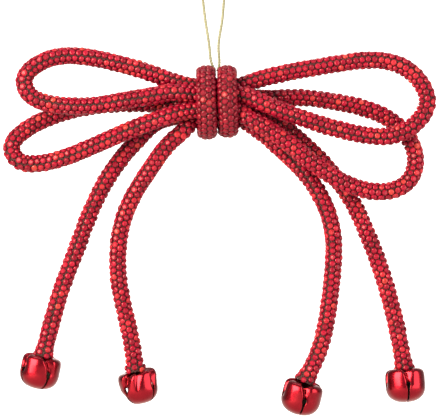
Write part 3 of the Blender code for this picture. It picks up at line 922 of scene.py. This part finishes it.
def noise(tree, scale, detail):
    """Cloudy values that keep their place on the piece."""
    places = tree.nodes.new("ShaderNodeTexCoord")
    node = tree.nodes.new("ShaderNodeTexNoise")
    node.inputs["Scale"].default_value = scale
    node.inputs["Detail"].default_value = detail
    tree.links.new(places.outputs["Object"], node.inputs["Vector"])
    return node.outputs["Fac"]


def stored_value(tree, name):
    """The values that a mesh stores under this name."""
    node = tree.nodes.new("ShaderNodeAttribute")
    node.attribute_name = name
    return node.outputs["Fac"]


def calculation(tree, operation, source, number=None):
    node = tree.nodes.new("ShaderNodeMath")
    node.operation = operation
    tree.links.new(source, node.inputs[0])
    if number is not None:
        node.inputs[1].default_value = number
    return node


def relief(tree, shader, height, strength, distance):
    bump = tree.nodes.new("ShaderNodeBump")
    bump.inputs["Strength"].default_value = strength
    bump.inputs["Distance"].default_value = distance
    tree.links.new(height, bump.inputs["Height"])
    tree.links.new(bump.outputs["Normal"], shader.inputs["Normal"])


def set_values(shader, values):
    for name, value in values.items():
        shader.inputs[name].default_value = value


def stone_material(name, depth):
    """Faceted red stones, each in its own tone, with facets painted lighter or darker as painted glints and
    shade, all times the depth. A depth below 1 is painted shade.
    """
    material, tree, shader = new_material(name)
    # Painted glints and shade: each corner's random share makes its facets lighter or darker
    shade = ramp(tree, stored_value(tree, "painted_facet_light"), ((0.0, DARKEST_PAINTED_FACET * depth), (1.0, depth)))
    mix = tree.nodes.new("ShaderNodeMix")
    mix.data_type = "RGBA"
    mix.blend_type = "MULTIPLY"
    mix.inputs["Factor"].default_value = 1
    tree.links.new(ramp(tree, stored_value(tree, "tone"), STONE_COLOURS), mix.inputs["A"])
    tree.links.new(shade, mix.inputs["B"])
    tree.links.new(mix.outputs["Result"], shader.inputs["Base Color"])
    rough = ramp(tree, noise(tree, scale=900, detail=3), ((0.35, 0.38), (0.65, 0.54)))
    tree.links.new(rough, shader.inputs["Roughness"])
    set_values(shader, {
        "Metallic": 0.2, "IOR": 1.5, "Specular IOR Level": 0.10, "Coat Weight": 0.24, "Coat Roughness": 0.10,
    })
    return material


def net_material():
    """Dark threads that cross aslant round the rope."""
    material, tree, shader = new_material("dark_net")
    uv = tree.nodes.new("ShaderNodeUVMap")
    uv.uv_map = "weave"
    split = tree.nodes.new("ShaderNodeSeparateXYZ")
    tree.links.new(uv.outputs["UV"], split.inputs["Vector"])
    threads = []
    for direction in (1, -1):
        around = calculation(tree, "MULTIPLY", split.outputs["Y"], 2 * math.pi * WEAVE_ROUND * direction)
        along = calculation(tree, "MULTIPLY_ADD", split.outputs["X"], 2 * math.pi * WEAVE_ALONG)
        tree.links.new(around.outputs[0], along.inputs[2])
        threads.append(calculation(tree, "COSINE", along.outputs[0]))
    most = calculation(tree, "MAXIMUM", threads[0].outputs[0])
    tree.links.new(threads[1].outputs[0], most.inputs[1])
    tree.links.new(ramp(tree, most.outputs[0], NET_COLOURS), shader.inputs["Base Color"])
    relief(tree, shader, most.outputs[0], strength=0.6, distance=0.0002)
    set_values(shader, {"Roughness": 0.7, "Specular IOR Level": 0.15})
    return material


def bell_material():
    material, tree, shader = new_material("red_lacquered_metal")
    cloud = noise(tree, scale=260, detail=4)
    tree.links.new(ramp(tree, cloud, BELL_COLOURS), shader.inputs["Base Color"])
    tree.links.new(ramp(tree, cloud, ((0.3, 0.22), (0.7, 0.28))), shader.inputs["Roughness"])
    relief(tree, shader, noise(tree, scale=900, detail=2), strength=0.03, distance=0.0001)
    set_values(shader, {"Metallic": 1.0, "Coat Weight": 0.25, "Coat Roughness": 0.18})
    return material


def inside_material():
    # Near-black metal inside the bell: painted shade in the hollow
    material, tree, shader = new_material("bell_inside")
    colours = ramp(tree, noise(tree, scale=500, detail=3), INSIDE_PAINTED_SHADE_COLOURS)
    tree.links.new(colours, shader.inputs["Base Color"])
    set_values(shader, {"Metallic": 0.8, "Roughness": 0.5})
    return material


def edge_material():
    material, tree, shader = new_material("bell_cut_edge")
    colours = ramp(tree, noise(tree, scale=1500, detail=3), EDGE_COLOURS)
    tree.links.new(colours, shader.inputs["Base Color"])
    set_values(shader, {"Metallic": 1.0, "Roughness": 0.3})
    return material


def gold_material():
    material, tree, shader = new_material("gold_thread")
    cloud = noise(tree, scale=1800, detail=3)
    tree.links.new(ramp(tree, cloud, GOLD_COLOURS), shader.inputs["Base Color"])
    relief(tree, shader, cloud, strength=0.4, distance=0.0001)
    set_values(shader, {"Metallic": 0.6, "Roughness": 0.42})
    return material


# Stage

def stage_material():
    """Pale paper, lit from behind where it stands behind the bow."""
    material, tree, shader = new_material("pale_floor")
    places = tree.nodes.new("ShaderNodeTexCoord")
    distance = tree.nodes.new("ShaderNodeVectorMath")
    distance.operation = "DISTANCE"
    distance.inputs[1].default_value = BACKDROP_MIDDLE
    tree.links.new(places.outputs["Object"], distance.inputs[0])
    share = calculation(tree, "DIVIDE", distance.outputs["Value"], GLOW_SIZE)
    tree.links.new(ramp(tree, share.outputs["Value"], GLOW), shader.inputs["Emission Strength"])
    paper = ramp(tree, noise(tree, scale=40, detail=3), ((0.3, 0.58), (0.7, 0.62)))
    tree.links.new(paper, shader.inputs["Base Color"])
    set_values(shader, {"Roughness": 0.9, "Emission Color": (1, 1, 1, 1)})
    return material


def build_stage():
    """A pale floor that curves up into a backdrop."""
    profile = [(FLOOR_FRONT, FLOOR_HEIGHT)]
    for step in range(STAGE_BEND_STEPS + 1):
        angle = math.radians(90 * step / STAGE_BEND_STEPS)
        profile.append((
            BACKDROP_PLACE - STAGE_BEND + STAGE_BEND * math.sin(angle),
            FLOOR_HEIGHT + STAGE_BEND - STAGE_BEND * math.cos(angle),
        ))
    profile.append((BACKDROP_PLACE, BACKDROP_TOP))
    vertices = [(x, y, z) for y, z in profile for x in (-STAGE_HALF_WIDTH, STAGE_HALF_WIDTH)]
    faces = [(2 * i, 2 * i + 1, 2 * i + 3, 2 * i + 2) for i in range(len(profile) - 1)]
    mesh = bpy.data.meshes.new("floor")
    mesh.from_pydata(vertices, [], faces)
    mesh.polygons.foreach_set("use_smooth", np.ones(len(mesh.polygons), bool))
    mesh.materials.append(stage_material())
    floor_piece = bpy.data.objects.new("floor", mesh)
    bpy.context.scene.collection.objects.link(floor_piece)


def area_light(name, place, size, power, colour=(1, 1, 1)):
    data = bpy.data.lights.new(name, "AREA")
    data.shape = "RECTANGLE"
    data.size, data.size_y = size
    data.energy = power
    data.color = colour
    obj = bpy.data.objects.new(name, data)
    obj.location = place
    obj.rotation_euler = (Vector(LIGHT_TARGET) - Vector(place)).to_track_quat("-Z", "Y").to_euler()
    bpy.context.scene.collection.objects.link(obj)


def build_lights():
    area_light("key", place=(-0.84, -0.80, 0.28), size=(0.85, 0.95), power=58, colour=(1, 0.80, 0.60))
    area_light("fill", place=(1.05, -0.60, 0.15), size=(1.2, 1.2), power=27, colour=(1, 0.86, 0.74))
    area_light("top", place=(0.0, 0.1, 1.0), size=(0.9, 0.6), power=5)
    world = bpy.data.worlds.new("studio")
    world.use_nodes = True
    background = world.node_tree.nodes["Background"]
    set_values(background, {"Color": (1, 1, 1, 1), "Strength": WORLD_STRENGTH})
    bpy.context.scene.world = world
    bpy.context.scene.view_settings.view_transform = "Standard"


def build_camera():
    data = bpy.data.cameras.new("camera")
    data.sensor_width = SENSOR_WIDTH
    data.lens = SENSOR_WIDTH * CAMERA_DISTANCE / VIEW_WIDTH
    data.clip_start = 0.1
    camera = bpy.data.objects.new("camera", data)
    camera.location = (CAMERA_ASIDE, -CAMERA_DISTANCE, KNOT.z - CAMERA_BELOW_KNOT)
    camera.rotation_euler = (math.pi / 2, 0, 0)
    bpy.context.scene.collection.objects.link(camera)
    bpy.context.scene.camera = camera


def main():
    build_camera()
    build_thread(gold_material())
    net = net_material()
    rope_materials = [net, stone_material("red_stones", 1.0)]
    # The wrap's stones are the rope's stones painted darker: painted shade
    wrap_materials = [net, stone_material("red_wrap_stones_in_painted_shade", WRAP_PAINTED_SHADE)]
    upper = Line(loops_line(UPPER_RIGHT, UPPER_LEFT[::-1], UPPER_TOP_CELL, UPPER_BOTTOM_CELL))
    rope_piece("upper_loops", upper, rope_section, rope_materials)
    lower = Line(loops_line(LOWER_RIGHT[::-1], LOWER_LEFT, LOWER_BOTTOM_CELL, LOWER_TOP_CELL))
    rope_piece("lower_loops", lower, rope_section, rope_materials)
    ends = {}
    for name, left, right, through in (
        ("outer_tails", OUTER_LEFT, OUTER_RIGHT, OUTER_TAIL_CELL),
        ("inner_tails", INNER_LEFT, INNER_RIGHT, INNER_TAIL_CELL),
    ):
        samples = tails_line(left, right, through)
        line = Line(tucked(samples))
        rope_piece(name, line, rope_section, rope_materials, flares=flared_ends(line, TAIL_FLARES[name]))
        where = name.split("_")[0]
        ends[f"bell_{where}_left"] = samples[0], samples[0] - samples[1]
        ends[f"bell_{where}_right"] = samples[-1], samples[-1] - samples[-2]
    wrap = facing_outwards(Line(wrap_line()))
    rope_piece("centre_wrap", wrap, wrap_section, wrap_materials, WRAP_STONE_PITCH)
    build_bells(ends, [bell_material(), inside_material(), edge_material()])
    build_stage()
    build_lights()


main()
